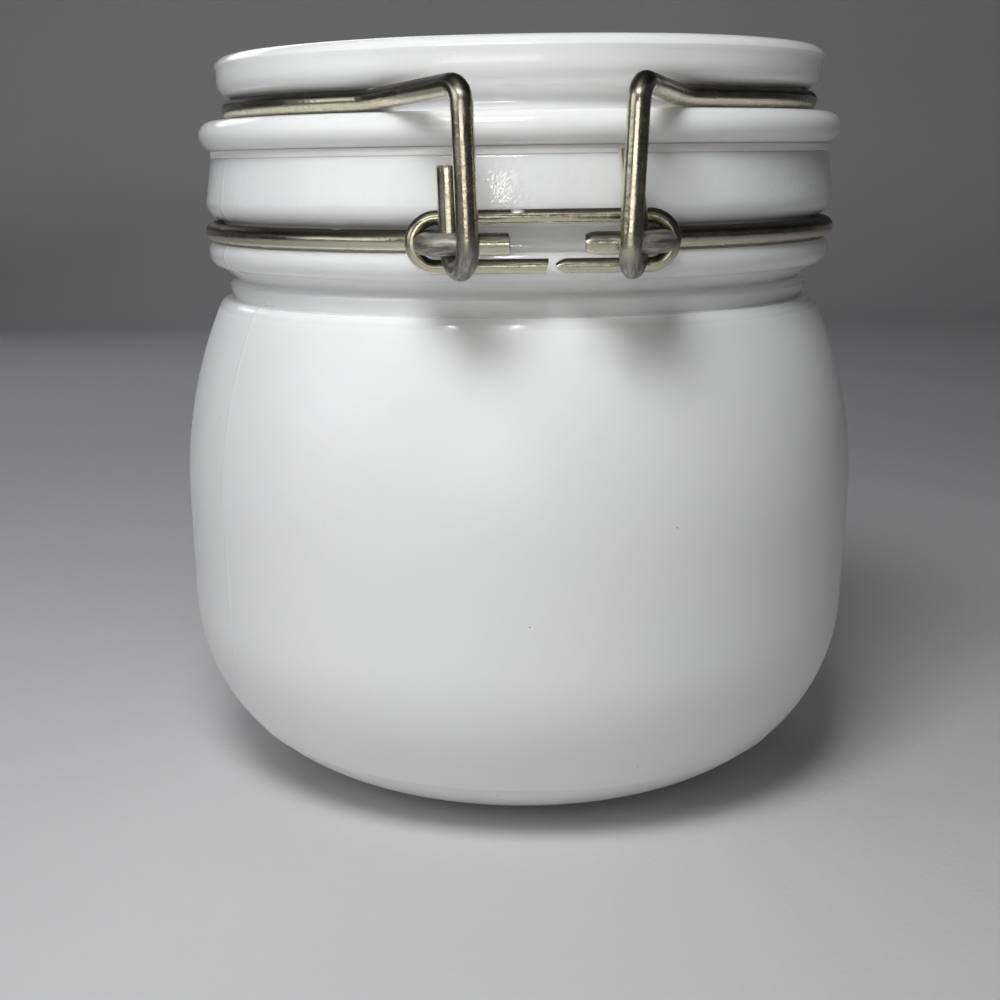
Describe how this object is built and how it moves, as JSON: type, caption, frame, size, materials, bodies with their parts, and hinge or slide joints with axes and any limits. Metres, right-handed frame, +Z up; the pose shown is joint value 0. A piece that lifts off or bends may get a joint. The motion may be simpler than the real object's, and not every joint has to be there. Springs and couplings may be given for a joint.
{
  "type": "bail-top storage jar",
  "caption": "Squat round milk-glass storage jar with a hinged glass lid, rubber sealing ring and bent-wire bail latch, for keeping dry food airtight.",
  "frame": {"origin": "middle of the base, on the plane that the jar stands on", "axes": "+Z up along the jar's axis; the lid's hinge is at -Y and the latch at +Y; the lid's hinge line runs along X"},
  "size_m": [0.1044, 0.1291, 0.111],
  "materials": {
    "milk_glass": "gloss",
    "rubber": "matte",
    "wire": "scuffed"
  },
  "bodies": {
    "jar": {"jar_body": "milk_glass", "neck_ring": "wire", "hinge_link": "wire"},
    "lid_set": {"lid": "milk_glass", "gasket": "rubber", "lid_ring": "wire"},
    "lever": {"latch_lever": "wire"},
    "link": {"latch_link": "wire"}
  },
  "joints": [
    {"name": "lid_hinge", "type": "hinge", "parent": "jar", "child": "lid_set", "pos_m": [0, -0.05507, 0.085], "axis": [1, 0, 0], "range_deg": [0, 170]},
    {"name": "lever_swing", "type": "hinge", "parent": "jar", "child": "lever", "pos_m": [0, 0.05323, 0.085], "axis": [1, 0, 0], "range_deg": [-20, 90]},
    {"name": "link_swing", "type": "hinge", "parent": "lever", "child": "link", "pos_m": [0, 0.05321, 0.07648], "axis": [1, 0, 0], "range_deg": [-118, 27]}
  ],
  "couplings": [
    {"joint": "link_swing", "follows": "lever_swing", "ratio": -1.3}
  ]
}
